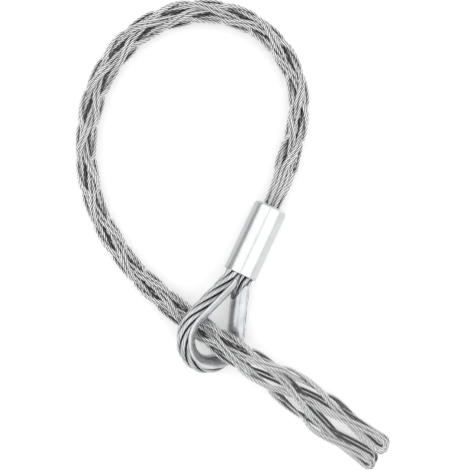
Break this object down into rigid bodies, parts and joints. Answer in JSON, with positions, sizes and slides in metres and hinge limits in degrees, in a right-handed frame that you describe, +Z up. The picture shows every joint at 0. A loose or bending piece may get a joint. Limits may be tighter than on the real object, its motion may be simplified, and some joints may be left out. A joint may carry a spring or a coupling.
{
  "type": "cable pulling grip",
  "caption": "Woven steel wire sock with a pressed sleeve and a thimble pulling eye, lying slack in one loop.",
  "frame": {"origin": "under the middle of the grip as it lies, on the surface it rests on", "axes": "+Z up from the surface, +Y along the grip's longest extent, away from the sock's mouth, +X to the right seen from above"},
  "size_m": [0.148, 0.2214, 0.0241],
  "materials": {
    "pressed_aluminium": "satin, as pressed, with faint lines along the sleeve",
    "zinc_plated_steel": "bright zinc plate on stamped steel",
    "galvanised_rope": "galvanised wire, dark in the valleys between strands",
    "galvanised_wire": "galvanised fine wire rope with a close slanting lay"
  },
  "bodies": {
    "root": {"ferrule": "pressed_aluminium", "thimble": "zinc_plated_steel", "eye_rope_core": "galvanised_rope", "eye_rope_strand_1": "galvanised_rope", "eye_rope_strand_2": "galvanised_rope", "eye_rope_strand_3": "galvanised_rope", "eye_rope_strand_4": "galvanised_rope", "eye_rope_strand_5": "galvanised_rope", "eye_rope_strand_6": "galvanised_rope", "mesh_wire_1": "galvanised_wire", "mesh_wire_2": "galvanised_wire", "mesh_wire_3": "galvanised_wire", "mesh_wire_4": "galvanised_wire", "mesh_wire_5": "galvanised_wire", "mesh_wire_6": "galvanised_wire", "mesh_wire_7": "galvanised_wire", "mesh_wire_8": "galvanised_wire"}
  },
  "joints": []
}
